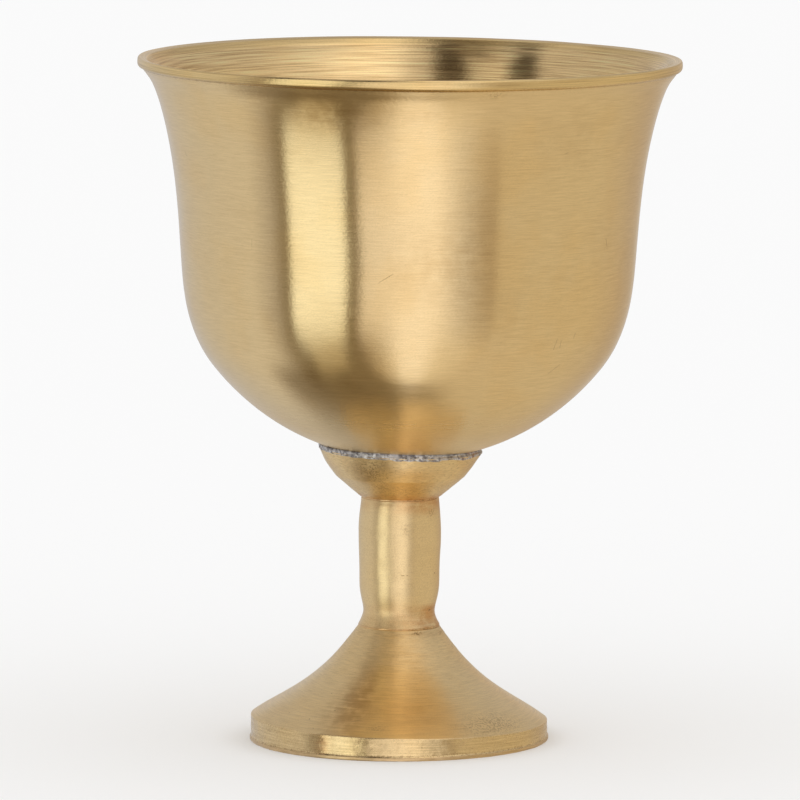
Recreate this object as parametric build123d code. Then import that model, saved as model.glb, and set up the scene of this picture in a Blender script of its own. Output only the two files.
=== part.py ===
from build123d import *
import os
from math import atan2, degrees, sqrt

# A small hand-made brass goblet. Millimetres and degrees, +Z up.
# The origin is the centre of the flat ring that the foot stands on.

# Driving dimensions
cup_height = 68.15         # from the table to the rim
rim_diameter = 54.0        # over the lip
foot_diameter = 29.6       # over the band of the foot
stem_diameter = 8.1        # at the barrel's widest place
bowl_wall = 0.9            # thickness of the bowl's sheet

# Heights of the two seams above the table
foot_top = 11.4            # the stem stands on the foot here
stem_top = 24.3            # the collar sits on the stem here

# What the maker's hand left: nothing on the goblet is quite in line
upper_lean = 0.5           # the stem and all above it lean towards +X
flare_lean = 0.8           # the cone of the foot leans a little more than the stem
bowl_offset = 0.6          # the bowl was soldered this far off the stem, towards +X

# Bowl
rim_radius = rim_diameter / 2
bottom_radius = 24.6       # the underside of the bowl is part of a ball
bottom_centre = 52.75      # height of that ball's centre
bottom_edge = 19.3         # the ball shape ends this far from the axis
lip_height = 1.0
lip_rounding = 0.25
lip_land = 0.7             # width of the flat on top of the lip

# Solder and brazing metal
solder_bed = 0.4           # gap between the bowl and the dish of the collar
bead_thickness = 0.28      # radius of the solder bead's section
bead_inset = 0.15          # the bead's middle lies this far inside the collar's edge
braze_gap = 0.15           # height of both rings of brazing metal
braze_bulge = 0.02         # a ring stands out of its seam by this much

# Collar
collar_radius = 8.17       # at its upper edge
collar_root = 4.02         # where it meets the stem

# Stem and its spigots
barrel_radius = stem_diameter / 2
neck_radius = 3.56
neck_height = 13.0
neck_top = 14.5            # the barrel starts here
stem_foot_radius = 4.05    # where the stem meets the foot
stem_head_radius = 3.87    # where the stem meets the collar
spigot_radius = 2.4
socket_radius = 2.45
upper_spigot = 2.2         # length inside the collar
lower_spigot = 4.8         # length through the foot, into its hollow

# Foot
foot_radius = foot_diameter / 2
base_lip = 0.1             # the lowest edge of the band stands out by this much
base_lip_height = 0.45
ring_width = 2.1           # the flat ring that touches the table
foot_wall = 2.3            # thickness of the cone, measured upright
hollow_height = 7.3
flare_reach = 18.0         # the cone's outline runs out to here before the band cuts it short
flare_bottom = -0.4


def point(radius, height):
    """A point of an outline, which lies in the XZ plane."""
    return Vector(radius, 0, height)


def turned(outline):
    """The solid of revolution about Z whose closed outline lies in the XZ plane."""
    return revolve(make_face(outline), Axis.Z)


def lean(solid, angle):
    """Lean a solid towards +X about the middle of the joint between foot and stem."""
    return Pos(0, 0, foot_top) * Rot(0, angle, 0) * Pos(0, 0, -foot_top) * solid


def disc(radius, bottom, top):
    """An upright cylinder about Z between two heights."""
    return Pos(0, 0, (bottom + top) / 2) * Cylinder(radius, top - bottom)


def ball(radius):
    """A ball about the centre of the bowl's round bottom."""
    return Pos(bowl_offset, 0, bottom_centre) * Sphere(radius)


def under_ball(radius, distance):
    """Height of the underside of a ball about the bowl's bottom centre, at a distance from its axis."""
    return bottom_centre - sqrt(radius**2 - distance**2)


def bottom_arc(radius, edge):
    """The underside of such a ball, from its axis out to an edge."""
    stops = [0, edge / 2, edge]
    return ThreePointArc(*[point(stop, under_ball(radius, stop)) for stop in stops])


def inward(curve, fraction, distance):
    """The point at a fraction of a curve's length, moved square to the curve towards the axis."""
    along = curve % fraction
    return curve @ fraction + Vector(-along.Z, 0, along.X) * distance


def bowl():
    """Round bottom, nearly straight side that flares at the top, and a thick lip."""
    under = bottom_arc(bottom_radius, bottom_edge)
    side = Spline(
        under @ 1,
        point(21.75, 42.5),
        point(22.6, 48.5),
        point(23.2, 55.5),
        point(24.35, 62.0),
        point(25.2, 64.8),
        point(25.9, 66.2),
        point(rim_radius - 0.45, cup_height - lip_height),
        tangents=[under % 1, Vector(1, 0, 1.8)],
    )
    lip = ThreePointArc(
        side @ 1,
        point(rim_radius, cup_height - lip_height / 2),
        point(rim_radius - lip_rounding, cup_height),
    )
    land = Line(lip @ 1, lip @ 1 - Vector(lip_land, 0, 0))
    steps = 12
    inner_side = Spline(*[inward(side, 1 - i / steps, bowl_wall) for i in range(steps + 1)])
    inner_under = bottom_arc(bottom_radius - bowl_wall, (inner_side @ 1).X)
    outline = [
        under,
        side,
        lip,
        land,
        Line(land @ 1, inner_side @ 0),
        inner_side,
        inner_under,
        Line(inner_under @ 0, under @ 0),
    ]
    return Pos(bowl_offset, 0, 0) * turned(outline)


def collar_blank():
    """The outside of the collar, taller than it ends up: a straight taper, then a curved flank."""
    blank_top = 31
    root = point(collar_root, stem_top + braze_gap)
    knee = point(6.44, 26.5)
    flank = ThreePointArc(knee, point(7.53, 28.0), point(collar_radius, 29.2))
    corners = [
        flank @ 1,
        point(collar_radius, blank_top),
        point(0, blank_top),
        point(0, root.Z),
        root,
        knee,
    ]
    return turned([flank, Polyline(*corners)])


def collar():
    """The bowl's seat: dished on top to suit the bowl, with a socket for the stem below."""
    socket_bottom = stem_top + braze_gap
    socket = disc(socket_radius, socket_bottom, socket_bottom + upper_spigot)
    return collar_blank() - ball(bottom_radius + solder_bed) - socket


def bowl_solder():
    """Soft solder that fills the dish under the bowl and ends in a round bead."""
    bed = collar_blank() & ball(bottom_radius + solder_bed)
    high_side = under_ball(bottom_radius, collar_radius + bowl_offset)
    low_side = under_ball(bottom_radius, collar_radius - bowl_offset)
    bead_height = (high_side + low_side - solder_bed) / 2
    tilt = degrees(atan2(high_side - low_side, 2 * collar_radius))
    bead = Pos(0, 0, bead_height) * Rot(0, tilt, 0) * Torus(collar_radius - bead_inset, bead_thickness)
    return bed + bead - ball(bottom_radius) - collar()


def stem():
    """Turned barrel with a neck near its foot and a spigot at each end."""
    shoulder = foot_top + braze_gap
    neck = Spline(
        point(stem_foot_radius, shoulder),
        point(neck_radius + 0.16, shoulder + 0.65),
        point(neck_radius, neck_height),
        point(neck_radius + 0.06, neck_height + 0.4),
    )
    barrel = Spline(
        point(3.88, neck_top),
        point(4.0, 17.0),
        point(barrel_radius, 21.4),
        point(stem_head_radius, stem_top),
    )
    spigot_top = stem_top + upper_spigot
    spigot_bottom = shoulder - lower_spigot
    head = [
        barrel @ 1,
        point(spigot_radius, stem_top),
        point(spigot_radius, spigot_top),
        point(0, spigot_top),
        point(0, spigot_bottom),
        point(spigot_radius, spigot_bottom),
        point(spigot_radius, shoulder),
        neck @ 0,
    ]
    return turned([neck, Line(neck @ 1, barrel @ 0), barrel, Polyline(*head)])


def braze_ring(radius, bottom):
    """Brazing metal that fills the seam between two shoulders round a spigot."""
    top = bottom + braze_gap
    ring = disc(radius + braze_bulge, bottom, top)
    return ring - disc(socket_radius, bottom, top)


def flare():
    """The cone of the foot, wider and deeper than it ends up, with its hollow sweeping side."""
    side = Spline(
        point(flare_reach, flare_bottom),
        point(14.52, 2.4),
        point(11.95, 4.0),
        point(8.97, 6.0),
        point(6.4, 8.4),
        point(4.95, 10.2),
        point(stem_foot_radius, foot_top),
    )
    above = foot_top + 0.5
    corners = [
        side @ 1,
        point(stem_foot_radius, above),
        point(0, above),
        point(0, flare_bottom),
        side @ 0,
    ]
    return lean(turned([side, Polyline(*corners)]), flare_lean)


def foot():
    """Conical foot: a band round its edge, a hollow under it and a hole for the stem's spigot."""
    solid = flare() & disc(foot_radius, 0, foot_top + 1)
    solid += disc(foot_radius + base_lip, 0, base_lip_height)
    above = lean(disc(foot_radius, foot_top, foot_top + 2), upper_lean)
    spigot_hole = lean(disc(socket_radius, 0, foot_top + 1), upper_lean)
    hollow = Pos(0, 0, -foot_wall) * flare() & disc(foot_radius - ring_width, 0, hollow_height)
    return solid - above - spigot_hole - hollow


nodes = {
    "foot": foot(),
    "foot_braze": lean(braze_ring(stem_foot_radius, foot_top), upper_lean),
    "stem": lean(stem(), upper_lean),
    "collar_braze": lean(braze_ring(stem_head_radius, stem_top), upper_lean),
    "collar": lean(collar(), upper_lean),
    "bowl_solder": lean(bowl_solder(), upper_lean),
    "bowl": lean(bowl(), upper_lean),
}

os.makedirs("parts", exist_ok=True)
for name, node in nodes.items():
    export_step(node, f"parts/{name}.step")
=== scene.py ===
import math

import bpy
import numpy as np
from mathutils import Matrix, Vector, noise


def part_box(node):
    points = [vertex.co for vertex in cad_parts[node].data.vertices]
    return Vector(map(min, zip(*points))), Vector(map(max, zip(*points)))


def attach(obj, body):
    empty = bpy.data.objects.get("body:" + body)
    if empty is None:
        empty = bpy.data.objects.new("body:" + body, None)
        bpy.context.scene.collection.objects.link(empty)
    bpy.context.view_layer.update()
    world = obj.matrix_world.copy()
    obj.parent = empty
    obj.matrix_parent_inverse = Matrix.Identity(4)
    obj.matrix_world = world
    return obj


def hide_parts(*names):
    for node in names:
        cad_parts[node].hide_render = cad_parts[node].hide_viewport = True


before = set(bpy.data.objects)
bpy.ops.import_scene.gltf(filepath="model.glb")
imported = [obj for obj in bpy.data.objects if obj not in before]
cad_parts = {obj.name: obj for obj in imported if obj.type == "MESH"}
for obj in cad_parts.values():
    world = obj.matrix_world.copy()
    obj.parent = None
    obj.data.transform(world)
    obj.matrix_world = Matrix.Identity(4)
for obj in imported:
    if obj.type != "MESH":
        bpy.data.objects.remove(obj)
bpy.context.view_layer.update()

# A small hand-made brass goblet on a pale floor. Outlines are in millimetres, as radius and height.
# Angles round the goblet are "facing": degrees to the right of its front, which is towards -Y.
MM = 0.001
AROUND = 384                      # points round each turned piece

# ------------------------------------------------------------------------------------------ sizes
foot_low, foot_high = (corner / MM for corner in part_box("foot"))
bowl_low, bowl_high = (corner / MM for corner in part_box("bowl"))
stem_low, stem_high = (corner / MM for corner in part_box("stem"))

upper_lean = math.radians(0.5)    # the stem and all above it lean towards +X
flare_lean = math.radians(0.8)    # the cone of the foot leans a little more
bowl_offset = 0.6                 # the bowl sits this far off the stem, towards +X
rim_radius = (bowl_high.y - bowl_low.y) / 2
rim_height = bowl_high.z - (rim_radius - bowl_offset) * math.sin(upper_lean)
bowl_wall = 0.9
ball_radius = 24.6                # the underside of the bowl is part of a ball
ball_centre = 52.75
ball_edge = 19.3

foot_top = 11.4                   # the stem stands on the foot here
stem_top = 24.3                   # the collar sits on the stem here
braze_gap = 0.15
stem_foot_radius = 4.05           # where the stem meets the foot
stem_head_radius = 3.87           # where the stem meets the collar
barrel_radius = (stem_high.y - stem_low.y) / 2
neck_radius = 3.56
neck_height = 13.0
neck_top = 14.5                   # the barrel starts here
spigot_radius = 2.4
socket_radius = 2.45
upper_spigot = 2.2
lower_spigot = 4.8

collar_radius = 8.17
collar_root = 4.02
solder_bed = 0.4                  # gap between the bowl and the dish of the collar

base_radius = (foot_high.y - foot_low.y) / 2
band_radius = base_radius - 0.1
base_lip_height = 0.45
hollow_radius = 12.7
hollow_height = 7.3
foot_wall = 2.3


# ------------------------------------------------------------------------------------------ curves
def straight(*corners):
    """A run of straight lines."""
    return np.array(corners, float)


def smooth(points, start=None, end=None, count=60):
    """A smooth curve through the points. start and end are its directions there, where they are given."""
    points = np.array(points, float)
    chord = np.hypot(*np.diff(points, axis=0).T)
    last = len(points) - 1
    matrix, right = np.eye(last + 1), np.zeros((last + 1, 2))
    for i in range(1, last):
        before, after = chord[i - 1], chord[i]
        steps = points[i] - points[i - 1], points[i + 1] - points[i]
        matrix[i, i - 1 : i + 2] = after, 2 * (before + after), before
        right[i] = 3 * (after * steps[0] / before + before * steps[1] / after)
    for row, inner, given in ((0, 1, start), (last, last - 1, end)):
        if given is None:
            matrix[row, row], matrix[row, inner] = 2, 1
            first = min(row, inner)
            right[row] = 3 * (points[first + 1] - points[first]) / chord[first]
        else:
            right[row] = np.array(given) / np.hypot(*given)
    slopes = np.linalg.solve(matrix, right)
    knots = np.r_[0, np.cumsum(chord)]
    stops = np.linspace(0, knots[-1], count)
    i = np.clip(np.searchsorted(knots, stops, side="right") - 1, 0, last - 1)
    span = chord[i][:, None]
    t = (stops - knots[i])[:, None] / span
    return (
        (2 * t**3 - 3 * t**2 + 1) * points[i]
        + (t**3 - 2 * t**2 + t) * span * slopes[i]
        + (3 * t**2 - 2 * t**3) * points[i + 1]
        + (t**3 - t**2) * span * slopes[i + 1]
    )


def ball_arc(radius, edge, count=60):
    """The underside of a ball about the bowl's bottom centre, from its axis out to an edge."""
    swing = np.linspace(0, math.asin(edge / radius), count)
    return np.c_[radius * np.sin(swing), ball_centre - radius * np.cos(swing)]


def under_ball(radius, distance):
    """Height of the underside of that ball at a distance from its axis."""
    return ball_centre - np.sqrt(radius**2 - distance**2)


def inward(curve, distance):
    """The curve moved square to itself, to the left of its direction."""
    along = np.gradient(curve, axis=0)
    along /= np.hypot(*along.T)[:, None]
    return curve + np.c_[-along[:, 1], along[:, 0]] * distance


FINE = 0.02                       # spacing of an outline's points before it is thinned


def outline(*runs, closed=False, worn=0.06, sharpest=7.0):
    """One outline from runs of (curve, zone, longest row). It runs anticlockwise round its section.

    Corners are worn round, to about the given size. The rows come out no further apart than each
    run's longest row, and closer where the outline turns. Returns the rows, their zones and
    their distance along the outline.
    """
    points, zones, spacing = [], [], []
    for curve, zone, longest in runs:
        walked = np.r_[0, np.cumsum(np.hypot(*np.diff(curve, axis=0).T))]
        stops = np.linspace(0, walked[-1], max(2, math.ceil(walked[-1] / FINE)), endpoint=False)
        points.append(np.c_[np.interp(stops, walked, curve[:, 0]), np.interp(stops, walked, curve[:, 1])])
        zones.append(np.full(len(stops), zone))
        spacing.append(np.full(len(stops), longest))
    if not closed:
        points.append(runs[-1][0][-1:])
        zones.append(zones[-1][-1:])
        spacing.append(spacing[-1][-1:])
    points, zones, spacing = map(np.concatenate, (points, zones, spacing))
    reach = math.ceil(3 * worn / FINE)                          # the bell is cut off at three widths
    bell = np.exp(-0.5 * (np.arange(-reach, reach + 1) * FINE / worn) ** 2)
    padded = [
        np.pad(column, reach, "wrap") if closed else np.pad(column, reach, "reflect", reflect_type="odd")
        for column in points.T
    ]
    points = np.stack([np.convolve(column, bell / bell.sum(), "valid") for column in padded], axis=1)
    step = np.hypot(*np.diff(points, axis=0).T)
    heading = np.unwrap(np.arctan2(*np.diff(points, axis=0).T[::-1]))
    bend = np.abs(np.diff(heading, prepend=heading[0]))
    cost = np.r_[0, np.cumsum(step / spacing[1:] + np.degrees(bend) / sharpest)]
    rows = np.interp(np.linspace(0, cost[-1], math.ceil(cost[-1]) + 1), cost, np.arange(len(points)))
    if closed:
        rows = rows[:-1]
    index = np.arange(len(points))
    place = np.stack([np.interp(rows, index, column) for column in points.T], axis=1)
    walked = np.interp(rows, index, np.r_[0, np.cumsum(step)])
    return place, zones[rows.astype(int)], walked


# ------------------------------------------------------------------------------------------ grids
facing = np.linspace(-180, 180, AROUND, endpoint=False)
angles = np.radians(facing - 90)


def spin(rows):
    """A grid of points, with a row for each point of the outline and a column for each angle."""
    r, z = rows[:, :1], rows[:, 1:]
    return np.stack([r * np.cos(angles), r * np.sin(angles), z + 0 * angles], axis=-1)


def outward(grid):
    """Unit normals of a grid that was spun from an outline."""
    along = np.gradient(grid, axis=0)
    around = np.roll(grid, -1, axis=1) - np.roll(grid, 1, axis=1)
    normal = np.cross(around, along)
    return normal / np.maximum(np.linalg.norm(normal, axis=-1, keepdims=True), 1e-9)


def lean(grid, angle):
    """Leans a grid towards +X about the middle of the joint between foot and stem."""
    x, y, up = grid[..., 0], grid[..., 1], grid[..., 2] - foot_top
    cos, sin = math.cos(angle), math.sin(angle)
    return np.stack([x * cos + up * sin, y, foot_top - x * sin + up * cos], axis=-1)


def lumps(grid, size, seed, depth=1):
    """Smooth random numbers, about -1 to 1, for each point of a grid. size is a lump's, in millimetres."""
    size = np.broadcast_to(np.array(size, float), 3)
    shift = Vector((7.3, 3.1, 5.7)) * seed
    spots = (grid / size).reshape(-1, 3)
    values = [noise.fractal(Vector(spot) + shift, 1.0, 2.0, depth) for spot in spots]
    return np.array(values).reshape(grid.shape[:2])


def ease(value, low, high):
    """0 below low and 1 above high, with a smooth change between. low may be the larger one."""
    t = np.clip((value - low) / (high - low), 0, 1)
    return t * t * (3 - 2 * t)


def patch(grid, at, height, width, tall):
    """A soft spot of strength 1, at degrees right of the front and a height, for each point of a grid."""
    away = (facing - at + 180) % 360 - 180
    return np.exp(-((away / width) ** 2) - ((grid[..., 2] - height) / tall) ** 2)


def build(name, grid, rows, materials, closed=False, heat_and_shade=0, grime_and_shade=0, wear=0):
    """A mesh from a grid in millimetres. Unless it is closed, its first and last rows are on the axis.

    The mesh carries the places that its materials use: turn is the way round the axis and the distance
    along the outline, and stain_and_shade is how much heat colour, grime and wear there is; some pieces
    put painted shade in as heat colour and as grime.
    """
    _, zones, walked = rows
    turn = np.zeros(grid.shape)
    turn[..., 0], turn[..., 1], turn[..., 2] = np.cos(angles), np.sin(angles), walked[:, None]
    stain_and_shade = np.stack([np.broadcast_to(part, grid.shape[:2]) for part in (heat_and_shade, grime_and_shade, wear)], axis=-1)
    keep = slice(None) if closed else slice(1, -1)
    points, turns, stain_and_shade_values = (part[keep].reshape(-1, 3) for part in (grid, turn, stain_and_shade))
    index = np.arange(len(points)).reshape(-1, AROUND)
    upper = np.roll(index, -1, axis=0)
    quads = np.stack([index, np.roll(index, -1, axis=1), np.roll(upper, -1, axis=1), upper], axis=-1)
    slots = np.repeat(zones[keep], AROUND)
    if not closed:
        quads, slots = quads[:-1], slots[:-AROUND]
    faces = quads.reshape(-1, 4).tolist()
    if not closed:
        for row, ring, order in ((0, index[0], -1), (-1, index[-1], 1)):
            tip = len(points)
            points = np.r_[points, grid[row, :1]]
            turns = np.r_[turns, [[0, 0, walked[row]]]]
            stain_and_shade_values = np.r_[stain_and_shade_values, stain_and_shade[row, :1]]
            pairs = zip(ring.tolist(), np.roll(ring, -1).tolist())
            faces += [(tip, *pair[::order]) for pair in pairs]
            slots = np.r_[slots, np.full(AROUND, zones[row])]
    mesh = bpy.data.meshes.new(name)
    mesh.from_pydata((points * MM).tolist(), [], faces)
    for attribute, values in (("turn", turns), ("stain_and_shade", stain_and_shade_values)):
        mesh.attributes.new(attribute, "FLOAT_VECTOR", "POINT").data.foreach_set("vector", values.ravel())
    for material in materials:
        mesh.materials.append(material)
    mesh.polygons.foreach_set("material_index", slots.astype(np.int32))
    mesh.polygons.foreach_set("use_smooth", np.ones(len(faces), bool))
    mesh.update()
    piece = bpy.data.objects.new(name, mesh)
    bpy.context.collection.objects.link(piece)
    return piece


def finish_piece(piece, node):
    """The piece stands for a node of the frame: it hangs from the root body, and the node's own mesh is
    hidden.
    """
    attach(piece, "root")
    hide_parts(node)


# ------------------------------------------------------------------------------------------ node trees
class Nodes:
    """Adds nodes to a tree. An input takes a number, a colour or another node's output."""

    def __init__(self, tree):
        self.tree = tree
        tree.nodes.clear()

    def add(self, kind, inputs, output=0, **settings):
        node = self.tree.nodes.new(kind)
        for key, value in settings.items():
            setattr(node, key, value)
        for key, value in inputs.items():
            if isinstance(value, bpy.types.NodeSocket):
                self.tree.links.new(value, node.inputs[key])
            else:
                node.inputs[key].default_value = value
        return node.outputs[output]

    def maths(self, operation, *values, clamp=False):
        return self.add("ShaderNodeMath", dict(enumerate(values)), operation=operation, use_clamp=clamp)

    def vector(self, operation, *values, output=0):
        return self.add("ShaderNodeVectorMath", dict(enumerate(values)), output, operation=operation)

    def parts(self, vector):
        split = self.add("ShaderNodeSeparateXYZ", {0: vector}).node
        return split.outputs

    def change(self, value, low, high, start=0.0, end=1.0, kind="SMOOTHSTEP"):
        """value from low to high becomes start to end, and stays within them."""
        inputs = {0: value, 1: low, 2: high, 3: start, 4: end}
        return self.add("ShaderNodeMapRange", inputs, interpolation_type=kind, clamp=True)

    def mix(self, factor, a, b, blend="MIX"):
        inputs = {0: factor, 6: a, 7: b}
        return self.add("ShaderNodeMix", inputs, 2, data_type="RGBA", blend_type=blend)

    def noise(self, place, detail=2.0, roughness=0.5):
        inputs = {"Vector": place, "Scale": 1.0, "Detail": detail, "Roughness": roughness}
        return self.add("ShaderNodeTexNoise", inputs)

    def end(self, kind, surface):
        """Ends the tree with a material's or a world's output."""
        output = self.tree.nodes.new(f"ShaderNodeOutput{kind}")
        self.tree.links.new(surface, output.inputs[0])


def tint(red, green, blue):
    return (red, green, blue, 1.0)


# ------------------------------------------------------------------------------------------ studio
def lit(red, green, blue):
    """A colour of light, on the warm side as the lamps are."""
    return tint(red, green * 0.94, blue * 0.90)


def grey(value):
    return lit(value, value, value)


# What the metal mirrors, as (degrees round from the front, light), in three rings: WALLS is level, LOWER is
# below it and UPPER above. Between two stops the light changes evenly. This is not a plain light: it is
# shaped to give brushed brass the reflections of one photographed view. The softbox is the bright stretch
# of WALLS from -63 to -34, with a dark gap on either side.
SOFTBOX = lit(1.12, 1.20, 1.16)
GAP = lit(0.18, 0.15, 0.09)
SHADE = lit(0.13, 0.10, 0.06)
DEEP_SHADE = lit(0.03, 0.02, 0.01)
STRAIGHT_BELOW = lit(0.17, 0.14, 0.085)
RIGHT_WALL = lit(0.60, 0.56, 0.46)
LEFT_WALL = lit(0.64, 0.65, 0.65)
REAR_LEFT = lit(0.54, 0.57, 0.62)
REAR_RIGHT = lit(0.50, 0.45, 0.38)
WALLS = [
    (-180, grey(0.62)),
    (-168, REAR_LEFT),
    (-88, LEFT_WALL),
    (-76, grey(0.47)),
    (-66, lit(0.19, 0.16, 0.10)),
    (-63, SOFTBOX),
    (-34, SOFTBOX),
    (-31.5, GAP),
    (-28, GAP),
    (-24, grey(0.88)),
    (-8, grey(0.96)),
    (0, grey(1.06)),
    (14, grey(1.08)),
    (28, grey(0.66)),
    (38, lit(0.48, 0.44, 0.37)),
    (44.5, lit(0.42, 0.37, 0.29)),
    (46, RIGHT_WALL),
    (110, RIGHT_WALL),
    (145, REAR_RIGHT),
    (158, REAR_RIGHT),
    (180, grey(0.62)),
]
LOWER = [
    (-180, grey(0.60)),
    (-160, REAR_LEFT),
    (-120, LEFT_WALL),
    (-86, LEFT_WALL),
    (-72, lit(0.26, 0.23, 0.17)),
    (-63, lit(0.18, 0.15, 0.10)),
    (-58, lit(0.46, 0.42, 0.31)),
    (-40, lit(0.44, 0.40, 0.29)),
    (-34, lit(0.22, 0.19, 0.13)),
    (-24, lit(0.22, 0.18, 0.12)),
    (-15, lit(0.50, 0.45, 0.35)),
    (-5, grey(1.02)),
    (9, grey(1.04)),
    (21, lit(0.80, 0.76, 0.66)),
    (48, lit(0.63, 0.58, 0.48)),
    (150, RIGHT_WALL),
    (180, grey(0.60)),
]
UPPER = [
    (-180, grey(0.46)),
    (-100, grey(0.50)),
    (-71, grey(0.58)),
    (-67, DEEP_SHADE),
    (-53, DEEP_SHADE),
    (-50, grey(0.62)),
    (-34, grey(0.52)),
    (-28, DEEP_SHADE),
    (-14, DEEP_SHADE),
    (-10, grey(0.52)),
    (0, grey(0.66)),
    (10, grey(1.02)),
    (38, grey(1.04)),
    (50, grey(0.82)),
    (80, grey(0.60)),
    (120, grey(0.48)),
    (180, grey(0.46)),
]


def compass(nodes, azimuth, stops):
    """Light by the direction round the goblet."""
    node = nodes.add("ShaderNodeValToRGB", {0: nodes.change(azimuth, -180, 180, kind="LINEAR")}).node
    elements = node.color_ramp.elements
    while len(elements) < len(stops):
        elements.new(1.0)
    for element, (degree, colour) in zip(elements, stops):
        element.position = (degree + 180) / 360
        element.color = colour
    return node.outputs[0]


def studio():
    """A softbox left of the camera between two dark gaps, a bright front, and mid grey round the rest."""
    world = bpy.data.worlds.new("studio")
    bpy.context.scene.world = world
    world.use_nodes = True
    nodes = Nodes(world.node_tree)
    x, y, z = nodes.parts(nodes.add("ShaderNodeTexCoord", {}, "Generated"))
    degree = math.degrees(1)
    azimuth = nodes.maths("MULTIPLY", nodes.maths("ARCTAN2", x, nodes.maths("MULTIPLY", y, -1)), degree)
    elevation = nodes.maths("MULTIPLY", nodes.maths("ARCSINE", z), degree)

    # The left edge of the softbox runs away to the left below, as the edge of a near thing does, and
    # the whole left side is tilted a little.
    below = nodes.change(elevation, -48, -72, 0, 42)
    bent = nodes.maths("MULTIPLY", below, nodes.change(azimuth, -35, -66))
    tilt = nodes.change(elevation, 10, -60, -6, 8, kind="LINEAR")
    tilt = nodes.maths("MULTIPLY", tilt, nodes.change(azimuth, -160, -110))
    bent = nodes.maths("MULTIPLY_ADD", tilt, nodes.change(azimuth, -5, -28), bent)
    turned = nodes.maths("ADD", azimuth, bent)
    level, lower = compass(nodes, turned, WALLS), compass(nodes, turned, LOWER)
    light = nodes.mix(nodes.change(elevation, -17, -47), level, lower)

    # Higher up the two dark patches lean to the left, the far one more than the near one.
    near_lean = nodes.maths("MULTIPLY", nodes.change(azimuth, 0, -8, 0, 5), nodes.change(elevation, 44, 58))
    before_rear = nodes.change(azimuth, -160, -110)
    far_lean = nodes.maths("MULTIPLY", nodes.change(azimuth, -35, -50, 0, 17), before_rear)
    far_lean = nodes.maths("MULTIPLY", far_lean, nodes.change(elevation, 34, 56))
    lean_back = nodes.maths("ADD", near_lean, far_lean)
    upper = compass(nodes, nodes.maths("ADD", azimuth, lean_back), UPPER)
    light = nodes.mix(nodes.change(elevation, 8, 26), light, upper)

    # High at the left it is dim.
    dim = nodes.maths("MULTIPLY", nodes.change(elevation, 58, 64), nodes.change(azimuth, -88, -74))
    dim = nodes.maths("MULTIPLY", dim, nodes.change(azimuth, -28, -42, 0, 0.75))
    light = nodes.mix(dim, light, SHADE)

    # A dark oval stands for the goblet's own shadow on the table, at its left. Its middle and its half
    # widths are for each unit of drop below the goblet.
    drop = nodes.maths("MAXIMUM", nodes.maths("MULTIPLY", z, -1), 0.001)

    def over(place, middle, half_width):
        """How far a direction is from the oval's middle, in half widths."""
        offset = nodes.maths("MULTIPLY_ADD", drop, -middle, place)
        return nodes.maths("DIVIDE", offset, nodes.maths("MULTIPLY", drop, half_width))

    across = over(x, -0.44, 0.50)
    back = over(y, 0.14, 0.42)
    squared = nodes.maths("MULTIPLY_ADD", across, across, nodes.maths("MULTIPLY", back, back))
    light = nodes.mix(nodes.change(nodes.maths("SQRT", squared), 1.5, 0.5, 0, 0.82), light, SHADE)
    light = nodes.mix(nodes.change(elevation, -74, -86), light, STRAIGHT_BELOW)

    # All but the mirrored rays see plain white walls.
    mirrored = nodes.add("ShaderNodeLightPath", {}, "Is Glossy Ray")
    light = nodes.mix(mirrored, tint(1.0, 1.0, 1.0), light)
    nodes.end("World", nodes.add("ShaderNodeBackground", {"Color": light, "Strength": 1.0}))


def floor():
    """A plain pale floor. Mirrored rays miss it: the metal's reflections come from the studio alone."""
    size = 4.0
    mesh = bpy.data.meshes.new("floor")
    corners = [(-size, -size, 0), (size, -size, 0), (size, size, 0), (-size, size, 0)]
    mesh.from_pydata(corners, [], [(0, 1, 2, 3)])
    material = bpy.data.materials.new("pale_paper")
    material.use_nodes = True
    nodes = Nodes(material.node_tree)
    nodes.end("Material", nodes.add("ShaderNodeBsdfDiffuse", {"Color": tint(0.96, 0.96, 0.96)}))
    mesh.materials.append(material)
    sheet = bpy.data.objects.new("floor", mesh)
    sheet.visible_glossy = False
    bpy.context.collection.objects.link(sheet)


def camera():
    """A long lens a little above the rim, looking slightly down."""
    pitch = math.radians(6.9)
    data = bpy.data.cameras.new("camera")
    data.sensor_width = 36
    data.lens = 396.9
    data.clip_start = 0.05
    data.clip_end = 20
    view = bpy.data.objects.new("camera", data)
    view.location = (0.1 * MM, -871.0 * MM, 139.4 * MM)
    view.rotation_euler = (math.pi / 2 - pitch, 0, 0)
    bpy.context.collection.objects.link(view)
    bpy.context.scene.camera = view


# ------------------------------------------------------------------------------------------ metal
BRASS = tint(0.92, 0.72, 0.405)
COPPER = tint(0.70, 0.40, 0.17)
# Pits, nicks and grime take this dark colour, and so does painted shade that is put in as grime.
TARNISH_AND_SHADE = tint(0.25, 0.14, 0.06)


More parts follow.
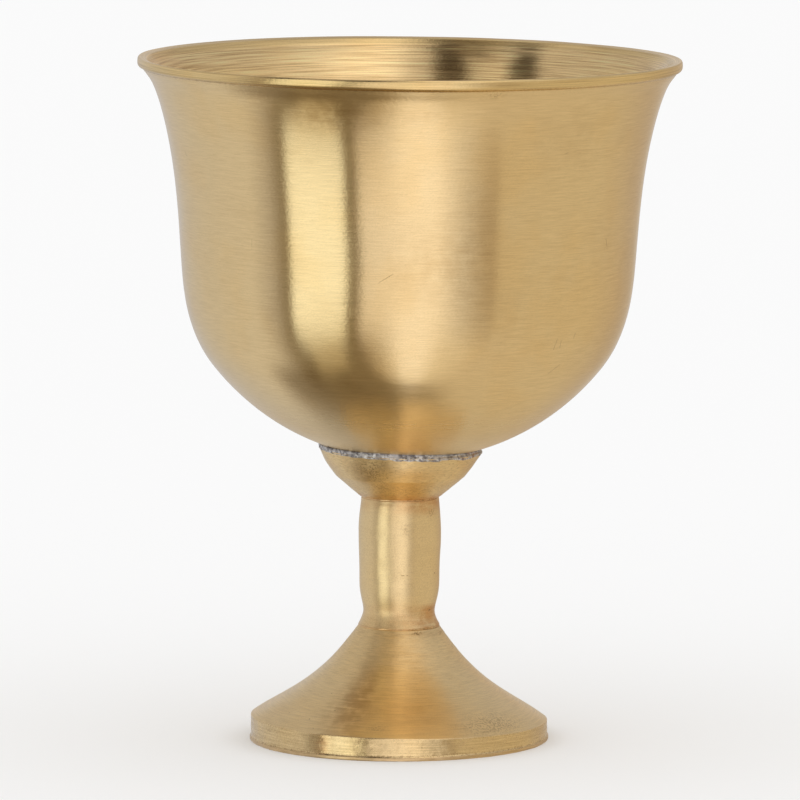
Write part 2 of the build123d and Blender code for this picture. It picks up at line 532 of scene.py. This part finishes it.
def metal(name, colour=BRASS, rough=0.19, brushed=0.9, radius=24, streak=(2.2, 0.09), contrast=0.14,
          grain=1.0, grooves=0.0, groove_pitch=0.5, marks=(), specks=0.0, fleck=0.2, tinge=COPPER):
    """Turned and brushed metal.

    radius is the piece's own, about. streak is the length and spacing of the fine brush lines. contrast
    is how much they change the colour, fleck how much fine speckle does, grain how uneven the surface is,
    and grooves how deep the coarse lathe lines are. specks is how dark its small pits are, and tinge the
    colour that heat gives it, which painted shade put in as heat colour takes too. marks are nicks:
    (place, direction, length, width), all in metres.
    """
    material = bpy.data.materials.new(name)
    material.use_nodes = True
    nodes = Nodes(material.node_tree)
    turn = nodes.add("ShaderNodeAttribute", {}, "Vector", attribute_name="turn")
    stain_and_shade = nodes.add("ShaderNodeAttribute", {}, "Vector", attribute_name="stain_and_shade")
    heat_and_shade, grime_and_shade, wear = nodes.parts(stain_and_shade)
    place = nodes.add("ShaderNodeTexCoord", {}, "Object")

    def lines(length, pitch, detail=2.0, offset=0.0):
        """Noise drawn out round the axis, in millimetres."""
        scaled = nodes.vector("MULTIPLY", turn, (radius / length, radius / length, 1 / pitch))
        return nodes.noise(nodes.vector("ADD", scaled, (offset, offset, offset)), detail)

    def cloud(size, detail=3.0, offset=0.0):
        """Even noise, in millimetres."""
        scaled = nodes.vector("SCALE", place)
        scaled.node.inputs["Scale"].default_value = 1 / (size * MM)
        return nodes.noise(nodes.vector("ADD", scaled, (offset, offset, offset)), detail)

    fine = lines(*streak)
    broad = lines(streak[0] * 3, streak[1] * 4, offset=31)
    speckle = cloud(0.11, detail=1.0)
    patches = cloud(7.0, offset=5)

    shade = nodes.maths("MULTIPLY_ADD", nodes.maths("SUBTRACT", fine, 0.5), contrast * 2, 1.0)
    shade = nodes.maths("MULTIPLY_ADD", nodes.maths("SUBTRACT", broad, 0.5), contrast * 0.4, shade)
    shade = nodes.maths("MULTIPLY_ADD", nodes.maths("SUBTRACT", speckle, 0.5), fleck, shade)
    yellower = tint(colour[0], colour[1] * 0.97, colour[2] * 0.91)
    base = nodes.mix(nodes.change(patches, 0.42, 0.68), colour, yellower)
    # Heat colour takes the tinge and grime the dark colour; some pieces put painted shade in through both.
    smear = nodes.maths("MULTIPLY_ADD", lines(5.0, 0.3, offset=37), 0.6, cloud(1.2, offset=9))
    base = nodes.mix(nodes.maths("MULTIPLY", heat_and_shade, nodes.change(smear, 0.35, 1.05)), base, tinge)
    spots = nodes.change(cloud(0.19, detail=2.0, offset=17), 0.46, 0.62)
    base = nodes.mix(nodes.maths("MULTIPLY", spots, grime_and_shade, clamp=True), base, TARNISH_AND_SHADE)
    pit = nodes.change(cloud(0.22, detail=0.0, offset=23), 0.735, 0.77)
    base = nodes.mix(nodes.maths("MULTIPLY", pit, specks), base, TARNISH_AND_SHADE)

    nick = None
    for spot, way, length, width in marks:
        reach = nodes.vector("SUBTRACT", place, tuple(spot))
        across = nodes.maths("ABSOLUTE", nodes.vector("DOT_PRODUCT", reach, tuple(way), output="Value"))
        away = nodes.vector("LENGTH", reach, output="Value")
        line = nodes.change(across, width / 2, 0.0)
        line = nodes.maths("MULTIPLY", line, nodes.change(away, length / 2, length / 3))
        nick = line if nick is None else nodes.maths("MAXIMUM", nick, line)
    if nick is not None:
        base = nodes.mix(nodes.maths("MULTIPLY", nick, 0.55), base, TARNISH_AND_SHADE)

    # Darker lines are warmer too.
    dark = nodes.maths("MINIMUM", shade, 1.0)
    green = nodes.maths("MULTIPLY", shade, nodes.maths("POWER", dark, 0.15))
    blue = nodes.maths("MULTIPLY", shade, nodes.maths("POWER", dark, 0.4))
    warm = {0: shade, 1: green, 2: blue}
    shaded = nodes.vector("MULTIPLY", base, nodes.add("ShaderNodeCombineXYZ", warm))

    scuffed = nodes.maths("MULTIPLY_ADD", wear, 0.16, rough)
    roughness = nodes.maths("MULTIPLY_ADD", nodes.maths("SUBTRACT", broad, 0.5), 0.06, scuffed)
    roughness = nodes.maths("MULTIPLY_ADD", grime_and_shade, 0.15, roughness, clamp=True)

    # Heights are in thousandths of a millimetre.
    height = nodes.maths("MULTIPLY", lines(streak[0], streak[1], offset=3), 2.4 * grain)
    height = nodes.maths("MULTIPLY_ADD", lines(0.4, 0.10, offset=11), 4.5 * grain, height)
    uneven = nodes.maths("MULTIPLY_ADD", wear, 22.0, 3 * grain)
    height = nodes.maths("MULTIPLY_ADD", cloud(0.35, offset=29), uneven, height)
    if grooves:
        height = nodes.maths("MULTIPLY_ADD", lines(60, groove_pitch, detail=3.0, offset=41), grooves, height)
    if nick is not None:
        height = nodes.maths("MULTIPLY_ADD", nick, -12.0, height)
    bump = nodes.add("ShaderNodeBump", {"Height": height, "Distance": 0.001 * MM, "Strength": 1.0}, "Normal")
    tangent = nodes.add("ShaderNodeTangent", {}, direction_type="RADIAL", axis="Z")
    inputs = {
        "Base Color": shaded,
        "Metallic": 1.0,
        "Roughness": roughness,
        "Anisotropic": brushed,
        "Anisotropic Rotation": 0.25,
        "Tangent": tangent,
        "Normal": bump,
    }
    nodes.end("Material", nodes.add("ShaderNodeBsdfPrincipled", inputs))
    return material


def nicks(grid, *places):
    """Marks on a grid, from (facing, height, tilt from level, length, width) in degrees and millimetres."""
    made = []
    for at, height, tilt, length, width in places:
        column = int(np.argmin(np.abs(facing - at)))
        row = int(np.argmin(np.abs(grid[: len(grid) // 2, column, 2] - height)))
        spot = grid[row, column]
        side = grid[row, (column + 1) % AROUND] - spot
        rise = grid[row + 1, column] - spot
        side /= np.linalg.norm(side)
        rise /= np.linalg.norm(rise)
        across = rise * math.cos(math.radians(tilt)) - side * math.sin(math.radians(tilt))
        made.append((spot * MM, across, length * MM, width * MM))
    return made


# ------------------------------------------------------------------------------------------ bowl
OUTSIDE, LIP, INSIDE = 0, 1, 2
INNER_IN_VIEW = 44                # points of the inner side, from the lip down, that get fine rows


def bowl():
    under = ball_arc(ball_radius, ball_edge)
    side = smooth(
        [
            under[-1],
            (21.75, 42.5),
            (22.6, 48.5),
            (23.2, 55.5),
            (24.35, 62.0),
            (25.2, 64.8),
            (25.9, 66.2),
            (rim_radius - 0.50, rim_height - 1.12),
        ],
        start=under[-1] - under[-2],
        end=(1, 1.8),
        count=160,
    )
    lip = straight(
        side[-1],
        (rim_radius - 0.15, rim_height - 0.95),
        (rim_radius - 0.03, rim_height - 0.80),
        (rim_radius, rim_height - 0.50),
        (rim_radius - 0.03, rim_height - 0.14),
        (rim_radius - 0.14, rim_height),
    )
    land = straight(lip[-1], (rim_radius - 0.90, rim_height - 0.16))
    inner = inward(side, bowl_wall)[::-1]
    upper, lower = inner[: INNER_IN_VIEW + 1], inner[INNER_IN_VIEW:]
    inner_ball = ball_arc(ball_radius - bowl_wall, lower[-1][0])[::-1]
    rows = outline(
        (under, OUTSIDE, 0.75),
        (side, OUTSIDE, 0.45),
        (lip, LIP, 0.12),
        (land, LIP, 0.2),
        (straight(land[-1], upper[0]), LIP, 0.12),
        (upper, INSIDE, 0.16),
        (lower, INSIDE, 0.7),
        (inner_ball, INSIDE, 1.2),
        worn=0.07,
    )
    grid = spin(rows[0])
    away = outward(grid)
    tall = grid[..., 2]
    inside = (rows[1] == INSIDE)[:, None]
    hand = lumps(grid, 13, seed=2, depth=2) * 0.035
    hand += 0.03 * np.cos(np.radians(2 * (facing - 35))) * ease(tall, 36, 60)
    hand = np.where(inside, -0.4 * hand, hand)
    ridges = lumps(grid, (16, 16, 0.28), seed=5, depth=2) * 0.008 * inside * ease(tall, 50, 60)
    near_axis = ease(np.hypot(grid[..., 0], grid[..., 1]), 1, 8)
    grid = grid + away * ((hand + ridges) * near_axis)[..., None]
    # The two patches below the lip are partly heat colour and partly painted shade under the lip; the rest
    # is heat colour.
    heat_and_shade = 0.8 * patch(grid, -19, 64.6, 10, 1.8) + 0.3 * patch(grid, 2, 64.8, 9, 1.0)
    heat_and_shade += 0.12 * patch(grid, 46, 62.5, 7, 3.5) + 0.15 * patch(grid, 55, 51, 7, 4)
    heat_and_shade += 0.35 * patch(grid, 15, 51, 7, 5.5) + 0.3 * patch(grid, 3, 49.5, 9, 4)
    heat_and_shade += 0.1 * ease(lumps(grid, 6, seed=9, depth=2), 0.25, 0.6)
    grime_and_shade = 0.35 * patch(grid, 18, 66.6, 2.5, 0.35) + 0.25 * ease(tall, 29.8, 29.2) * ~inside
    # This dark line all round, just under the lip, is painted shade in the crease there.
    grime_and_shade += 0.5 * patch(grid, 0, rim_height - 1.05, 400, 0.12) * ~inside
    wear = (0.7 * ease(tall, 38, 31) + 0.25 * ease(tall, 64.5, 66.5)) * ~inside
    grid[..., 0] += bowl_offset
    grid = lean(grid, upper_lean)
    marks = nicks(
        grid,
        (-67.5, 59.6, -55, 0.8, 0.09),
        (-42.0, 51.3, 85, 1.0, 0.08),
        (39.5, 60.3, 20, 0.5, 0.09),
        (42.5, 41.4, 80, 1.4, 0.07),
        (44.0, 41.2, 95, 1.0, 0.07),
        (45.0, 38.8, 42, 1.9, 0.07),
        (58.5, 50.9, -70, 1.0, 0.09),
        (-6.0, 48.6, 32, 2.0, 0.08),
        (49.0, 42.0, 75, 0.8, 0.07),
    )
    # The outside's brown tinge colours its heat and the painted shade below the lip.
    outside = metal("brass_bowl_outside", marks=marks, tinge=tint(0.58, 0.39, 0.17))
    polished = metal("brass_lip", colour=tint(0.84, 0.64, 0.32), rough=0.20, brushed=0.4, streak=(8, 0.10),
                     radius=27, contrast=0.45)
    inner_metal = metal("brass_bowl_inside", colour=tint(0.90, 0.68, 0.36), rough=0.22, brushed=0.8,
                        streak=(7, 0.13), contrast=0.75, grooves=20.0, groove_pitch=0.22)
    metals = [outside, polished, inner_metal]
    piece = build("bowl_spun", grid, rows, metals, heat_and_shade=heat_and_shade, grime_and_shade=grime_and_shade, wear=wear)
    finish_piece(piece, "bowl")


# ------------------------------------------------------------------------------------------ collar
dish_radius = ball_radius + solder_bed


def bowl_distance(grid):
    """Distance of each point of an upright grid from the axis of the bowl."""
    return np.hypot(grid[..., 0] - bowl_offset, grid[..., 1])


def collar():
    root = (collar_root, stem_top + braze_gap)
    knee = (6.44, 26.5)
    top = under_ball(dish_radius, collar_radius)
    flank = smooth([knee, (7.53, 28.0), (collar_radius, 29.2)])
    flank = flank[flank[:, 1] < top]
    edge = (collar_radius, top)
    dish = ball_arc(dish_radius, collar_radius)[::-1]
    ceiling = root[1] + upper_spigot
    rows = outline(
        (straight((0, ceiling), (socket_radius, ceiling), (socket_radius, root[1]), root), 0, 0.6),
        (straight(root, knee), 0, 0.14),
        (np.r_[flank, [edge]], 0, 0.12),
        (dish, 0, 0.6),
    )
    grid = spin(rows[0])

    # The dish follows the bowl, which sits off the axis, and the top of the flank goes with it.
    row_r, row_z = rows[0].T
    from_axis = np.hypot(grid[..., 0], grid[..., 1])
    off_axis = under_ball(dish_radius, bowl_distance(grid)) - under_ball(dish_radius, from_axis)
    on_dish = row_z >= under_ball(dish_radius, row_r) - 0.05
    share = np.where(on_dish, 1, ease(row_z, top - 1.3, top))
    grid[..., 2] += off_axis * share[:, None]
    outer = ((row_r > collar_root - 0.12) & (share < 1))[:, None]
    away = outward(grid)
    hand = lumps(grid, 3.0, seed=4, depth=2) * 0.03 + lumps(grid, (3, 3, 0.35), seed=6) * 0.006
    grid = grid + away * (hand * outer)[..., None]
    tall = grid[..., 2]
    heat_and_shade = 0.75 * ease(tall, root[1] + 0.9, root[1]) + 0.15 * ease(lumps(grid, 2, seed=8), 0.1, 0.5)
    # Darker at the left of the flank, and low on its front.
    grime_and_shade = 0.25 * patch(grid, -30, 28.0, 14, 1.0) + 0.2 * patch(grid, 10, 25.6, 60, 0.5)
    grime_and_shade += 0.32 * patch(grid, -20, 27.2, 7, 2.4)
    wear = 0.5 * ease(lumps(grid, 1.6, seed=13, depth=2), 0.0, 0.5)
    grid = lean(grid, upper_lean)
    brass = metal("brass_collar", rough=0.34, brushed=0.3, radius=6, streak=(0.5, 0.10), contrast=0.28,
                  grain=3.0, specks=0.25)
    piece = build("collar_turned", grid, rows, [brass], heat_and_shade=heat_and_shade, grime_and_shade=grime_and_shade, wear=wear)
    finish_piece(piece, "collar")


# ------------------------------------------------------------------------------------------ solder
def solder_metal():
    """Dull grey soft solder with bright lumps; it is darker in spots and along the top of its bead."""
    material = bpy.data.materials.new("soft_solder")
    material.use_nodes = True
    nodes = Nodes(material.node_tree)
    place = nodes.add("ShaderNodeTexCoord", {}, "Object")
    stain_and_shade = nodes.add("ShaderNodeAttribute", {}, "Vector", attribute_name="stain_and_shade")
    heat_and_shade, grime_and_shade, _ = nodes.parts(stain_and_shade)

    def cloud(size, detail):
        """Even noise, in millimetres."""
        scaled = nodes.vector("SCALE", place)
        scaled.node.inputs["Scale"].default_value = 1 / (size * MM)
        return nodes.noise(scaled, detail)

    flecks = cloud(0.30, 3.0)
    clouds = cloud(0.9, 2.0)
    base = nodes.mix(nodes.change(flecks, 0.40, 0.62), tint(0.30, 0.285, 0.295), tint(0.74, 0.73, 0.73))
    base = nodes.mix(nodes.change(clouds, 0.45, 0.65), base, tint(0.62, 0.60, 0.60))
    base = nodes.mix(grime_and_shade, base, tint(0.14, 0.13, 0.14))
    base = nodes.mix(heat_and_shade, base, tint(0.42, 0.24, 0.17))
    rough = nodes.change(flecks, 0.3, 0.7, 0.62, 0.34)
    bump = nodes.add("ShaderNodeBump", {"Height": flecks, "Distance": 0.05 * MM, "Strength": 1.0}, "Normal")
    inputs = {"Base Color": base, "Metallic": 0.85, "Roughness": rough, "Normal": bump}
    nodes.end("Material", nodes.add("ShaderNodeBsdfPrincipled", inputs))
    return material


def solder():
    """A bed in the collar's dish and a lumpy bead round its edge."""
    bed = ball_arc(dish_radius - 0.02, collar_radius - 0.15)
    low = under_ball(dish_radius, collar_radius)
    high = under_ball(ball_radius, collar_radius)
    bead = smooth(
        [
            bed[-1],
            (collar_radius - 0.03, low - 0.08),
            (collar_radius - 0.01, low + 0.06),
            (collar_radius, (low + high) / 2),
            (collar_radius - 0.03, high - 0.04),
            (collar_radius - 0.15, high + 0.03),
        ],
        count=50,
    )
    roof = ball_arc(ball_radius + 0.01, collar_radius - 0.3)[::-1]
    rows = outline((bed, 0, 0.7), (bead, 0, 0.045), (roof, 0, 0.7), worn=0.03)
    grid = spin(rows[0])
    row_r, row_z = rows[0].T
    from_axis = np.hypot(grid[..., 0], grid[..., 1])
    grid[..., 2] += under_ball(ball_radius, bowl_distance(grid)) - under_ball(ball_radius, from_axis)
    outer = ease(row_r, collar_radius - 0.1, collar_radius + 0.03)[:, None]
    lower = outer * ease(row_z, (low + high) / 2, low - 0.1)[:, None]
    away = outward(grid)
    rough = lumps(grid, 0.6, seed=3, depth=3) * 0.07 + lumps(grid, 2.2, seed=7, depth=2) * 0.04
    grid = grid + away * (rough * outer)[..., None]

    # The bead is flush with the collar at the left and set back at the right, and a ragged lip of it
    # runs down over the collar's edge.
    flush = 0.12 + 0.12 * np.sin(np.radians(facing))
    clear = ease(row_z, low + 0.05, low + 0.2)[:, None]
    thick = 0.16 + 0.10 * np.cos(np.radians(facing - 10))
    drip = lower * (thick + 0.20 * lumps(grid, 1.1, seed=12, depth=3))
    grid[..., 2] -= drip
    grid[..., :2] *= (1 - (outer * clear * flush + 0.45 * drip) / collar_radius)[..., None]
    upper = outer * ease(row_z, (low + high) / 2, high)[:, None]
    # Darker along the top of the bead, next to the bowl, and in spots.
    grime_and_shade = 0.8 * upper + 0.5 * ease(lumps(grid, 0.7, seed=21, depth=2), 0.05, 0.3)
    heat_and_shade = 0.7 * patch(grid, 62, 29.4, 14, 3) * ease(lumps(grid, 0.35, seed=23, depth=2), 0.0, 0.3)
    grid = lean(grid, upper_lean)
    piece = build("solder_bead", grid, rows, [solder_metal()], heat_and_shade=heat_and_shade, grime_and_shade=np.clip(grime_and_shade, 0, 1))
    finish_piece(piece, "bowl_solder")


# ------------------------------------------------------------------------------------------ stem
def stem():
    shoulder = foot_top + braze_gap
    neck = smooth(
        [
            (stem_foot_radius, shoulder),
            (neck_radius + 0.16, shoulder + 0.65),
            (neck_radius, neck_height),
            (neck_radius + 0.06, neck_height + 0.4),
            (3.88, neck_top),
            (4.0, 17.0),
            (barrel_radius, 21.4),
            (stem_head_radius, stem_top),
        ],
        count=120,
    )
    spigot_top = stem_top + upper_spigot
    spigot_bottom = shoulder - lower_spigot
    lower = straight((0, spigot_bottom), (spigot_radius, spigot_bottom), (spigot_radius, shoulder), neck[0])
    upper = straight(neck[-1], (spigot_radius, stem_top), (spigot_radius, spigot_top), (0, spigot_top))
    rows = outline((lower, 0, 0.7), (neck, 0, 0.11), (upper, 0, 0.7), worn=0.04)
    grid = spin(rows[0])
    tall = grid[..., 2]
    shown = (rows[0][:, 0] > 3.2)[:, None] * ease(tall, shoulder, shoulder + 0.6)
    shown = shown * ease(tall, stem_top, stem_top - 0.6)
    hand = lumps(grid, (4.5, 4.5, 5.5), seed=31, depth=2) * 0.07 + lumps(grid, 1.5, seed=33) * 0.012
    hand += 0.03 * np.cos(np.radians(2 * (facing + 40)))
    grid = grid + outward(grid) * (hand * shown)[..., None]
    heat_and_shade = (0.35 + 0.8 * patch(grid, 50, 24, 45, 9)) * ease(tall, stem_top - 1.9, stem_top - 0.3)
    heat_and_shade = heat_and_shade + (0.25 + 0.9 * patch(grid, 55, 12.5, 35, 9)) * ease(tall, shoulder + 2.6, shoulder + 1.6)
    grime_and_shade = 0.3 * patch(grid, 9, 21.5, 6, 0.6) + 0.5 * patch(grid, 55, 23.0, 8, 0.5)
    grime_and_shade += 0.5 * patch(grid, 58, 13.2, 5, 0.3)
    wear = 1.4 * patch(grid, 0, 12.2, 36, 0.8) + 0.35 * ease(lumps(grid, 1.3, seed=35), 0.1, 0.5)
    grid = lean(grid, upper_lean)
    marks = nicks(
        grid,
        (11.5, 21.8, 0, 0.22, 0.16),
        (6.0, 21.2, 0, 0.24, 0.18),
        (4.0, 20.7, 0, 0.2, 0.14),
        (58.0, 13.2, 0, 0.3, 0.2),
        (62.0, 22.7, 0, 0.3, 0.2),
    )
    brass = metal("brass_stem", rough=0.32, brushed=0.3, radius=4, streak=(1.6, 0.09), contrast=0.08,
                  grain=2.0, fleck=0.4, marks=marks)
    piece = build("stem_turned", grid, rows, [brass], heat_and_shade=np.clip(heat_and_shade, 0, 1), grime_and_shade=grime_and_shade, wear=wear)
    finish_piece(piece, "stem")


def braze(name, node, bottom, radius, seed):
    """A thin ring of brazing metal that stands a little out of its seam."""
    top = bottom + braze_gap
    middle = (bottom + top) / 2
    inner, outer = socket_radius, radius - 0.01
    rows = outline(
        (straight((inner, top), (inner, bottom), (outer, bottom)), 0, 0.6),
        (smooth([(outer, bottom), (outer + 0.02, middle), (outer, top)]), 0, 0.03),
        (straight((outer, top), (inner, top)), 0, 0.6),
        closed=True,
        worn=0.02,
    )
    grid = spin(rows[0])
    proud = (rows[0][:, 0] > outer - 0.02)[:, None]
    grid = grid + outward(grid) * (lumps(grid, 1.1, seed=seed, depth=2) * 0.02 * proud)[..., None]
    grid = lean(grid, upper_lean)
    brass = metal(f"brazing_{name}", colour=tint(0.86, 0.64, 0.36), rough=0.30, brushed=0.2, radius=4,
                  streak=(1.0, 0.1), contrast=0.3, grain=2.0)
    heat_and_shade = 0.2 + 0.8 * patch(grid, 45, middle, 45, 9)
    grime_and_shade = 0.5 * patch(grid, 40, middle, 40, 9)
    piece = build(name, grid, rows, [brass], closed=True, heat_and_shade=heat_and_shade, grime_and_shade=grime_and_shade)
    finish_piece(piece, node)


# ------------------------------------------------------------------------------------------ foot
BASE_LIP, BAND, CONE, HIDDEN = 0, 1, 2, 3


def foot():
    flare = smooth(
        [
            (18.0, -0.4),
            (14.52, 2.4),
            (11.95, 4.0),
            (8.97, 6.0),
            (6.4, 8.4),
            (4.95, 10.2),
            (stem_foot_radius, foot_top),
        ],
        count=400,
    )
    falling = flare[::-1]

    def cone_height(distance):
        """Height of the cone's surface at a distance from its axis."""
        return np.interp(distance, falling[:, 0], falling[:, 1])

    edge = (band_radius, float(cone_height(band_radius)))
    cone = np.r_[[edge], flare[flare[:, 0] < band_radius]]
    under = flare - (0, foot_wall)
    roof = under[(under[:, 0] < hollow_radius) & (under[:, 1] < hollow_height)][::-1]
    roof_edge = (hollow_radius, float(cone_height(hollow_radius)) - foot_wall)
    lip_top = (base_radius, base_lip_height - 0.1)
    base_lip = straight((hollow_radius, 0), (base_radius - 0.05, 0), (base_radius, 0.05), lip_top)
    socket = straight(cone[-1], (socket_radius, foot_top), (socket_radius, hollow_height), roof[0])
    rows = outline(
        (base_lip, BASE_LIP, 0.12),
        (straight(lip_top, (band_radius, base_lip_height), edge), BAND, 0.12),
        (cone, CONE, 0.16),
        (socket, HIDDEN, 0.7),
        (roof, HIDDEN, 0.6),
        (straight(roof[-1], roof_edge, (hollow_radius, 0)), HIDDEN, 0.6),
        closed=True,
        worn=0.05,
    )
    zones = rows[1]
    grid = spin(rows[0])
    r, z = rows[0].T

    # The cone leans towards +X on a level base, and the band takes up the difference.
    slope = -np.gradient(flare[:, 1], flare[:, 0])[::-1]
    steep = np.interp(r, falling[:, 0], slope)
    drop = (r + (foot_top - cone_height(r)) * steep) * math.sin(flare_lean)
    share = np.clip((z - base_lip_height) / (edge[1] - base_lip_height), 0, 1) * (r > socket_radius + 0.1)
    grid[..., 2] -= (drop * share)[:, None] * np.cos(angles)
    away = outward(grid)
    on_band = (zones == BAND)[:, None]
    on_cone = (zones == CONE)[:, None] * ease(z, foot_top, foot_top - 0.4)[:, None]
    hand = lumps(grid, 5, seed=41, depth=2) * 0.03 * on_cone
    hand += lumps(grid, (1.5, 1.5, 0.34), seed=43) * 0.018 * on_cone * ease(z, 7.5, 9.5)[:, None]
    hand += lumps(grid, (5, 5, 0.4), seed=44, depth=2) * 0.012 * on_band
    hand += lumps(grid, 1.2, seed=45, depth=3) * 0.018 * on_band
    ragged = ((zones == BASE_LIP) & (z > 0.02))[:, None] * lumps(grid, 1.4, seed=47, depth=3) * 0.05
    grid = grid + away * (hand + ragged)[..., None]
    grid[..., 2] = np.maximum(grid[..., 2], 0)
    tall = grid[..., 2]
    heat_and_shade = (0.25 + 0.5 * patch(grid, 50, 11.5, 50, 5)) * ease(tall, 10.2, 11.6) * on_cone
    # The strong patch at the left of the cone is partly a brown smudge and partly painted shade: a dark
    # reflection put in as brown colour.
    heat_and_shade = heat_and_shade + 0.2 * patch(grid, 5, 4.0, 25, 1.5) + 1.3 * patch(grid, -25, 5.2, 11, 3.0) * on_cone
    heat_and_shade += 0.8 * patch(grid, -31, 1.4, 3, 1.5) * on_band
    grime_and_shade = 0.45 * patch(grid, 44, 2.9, 16, 0.8) + 0.3 * patch(grid, -9.5, 3.05, 4, 0.25)
    grime_and_shade += 0.9 * patch(grid, 24.5, 11.1, 8, 0.14) + 0.7 * patch(grid, 69, 10.9, 5, 0.18)
    # Painted shade: a faint darkening at the left end of the foot, and the dark line all round at the top of
    # the base lip, in the step there. The band is a little darker all round.
    grime_and_shade += 0.12 * patch(grid, -62, 1.8, 18, 1.6) + 0.08 * on_band + 0.4 * patch(grid, 0, 0.45, 400, 0.12)
    wear = 0.6 * on_band * ease(lumps(grid, 0.9, seed=49, depth=2), -0.1, 0.4) + 0.7 * ease(tall, 7.0, 9.5)
    marks = nicks(
        grid,
        (-42.0, 3.4, 0, 0.26, 0.2),
        (-33.0, 4.25, 0, 0.28, 0.2),
        (-36.5, 2.75, 0, 0.2, 0.14),
        (-43.0, 5.6, 0, 0.2, 0.14),
        (-57.0, 3.6, 0, 0.16, 0.12),
        (31.0, 2.9, 0, 0.25, 0.2),
        (-20.0, 3.6, 25, 1.2, 0.08),
    )
    plain = dict(radius=10, streak=(1.8, 0.09))
    # The cone's brown tinge colours its heat and the painted shade at the left of the cone.
    cone_metal = metal("brass_foot_cone", rough=0.32, brushed=0.5, contrast=0.22, grain=1.5, grooves=8.0,
                       groove_pitch=0.4, marks=marks, tinge=tint(0.60, 0.42, 0.21), **plain)
    band_metal = metal("brass_foot_band", colour=tint(0.84, 0.65, 0.36), rough=0.19, brushed=0.6,
                       radius=14, streak=(3.0, 0.09), contrast=0.34, grain=2.0, specks=0.15)
    lip_metal = metal("brass_foot_lip", colour=tint(0.72, 0.53, 0.30), rough=0.34, brushed=0.3,
                      contrast=0.4, grain=2.0, **plain)
    hidden_metal = metal("brass_foot_underside", rough=0.38, brushed=0.4, contrast=0.2, grain=1.2,
                         grooves=8.0, groove_pitch=0.8, **plain)
    metals = [lip_metal, band_metal, cone_metal, hidden_metal]
    piece = build("foot_turned", grid, rows, metals, closed=True, heat_and_shade=heat_and_shade, grime_and_shade=np.clip(grime_and_shade, 0, 1),
                  wear=wear)
    finish_piece(piece, "foot")


studio()
floor()
camera()
bowl()
solder()
collar()
braze("braze_upper", "collar_braze", stem_top, stem_head_radius, seed=51)
stem()
braze("braze_lower", "foot_braze", foot_top, stem_foot_radius, seed=53)
foot()

bpy.context.scene.view_settings.view_transform = "Standard"
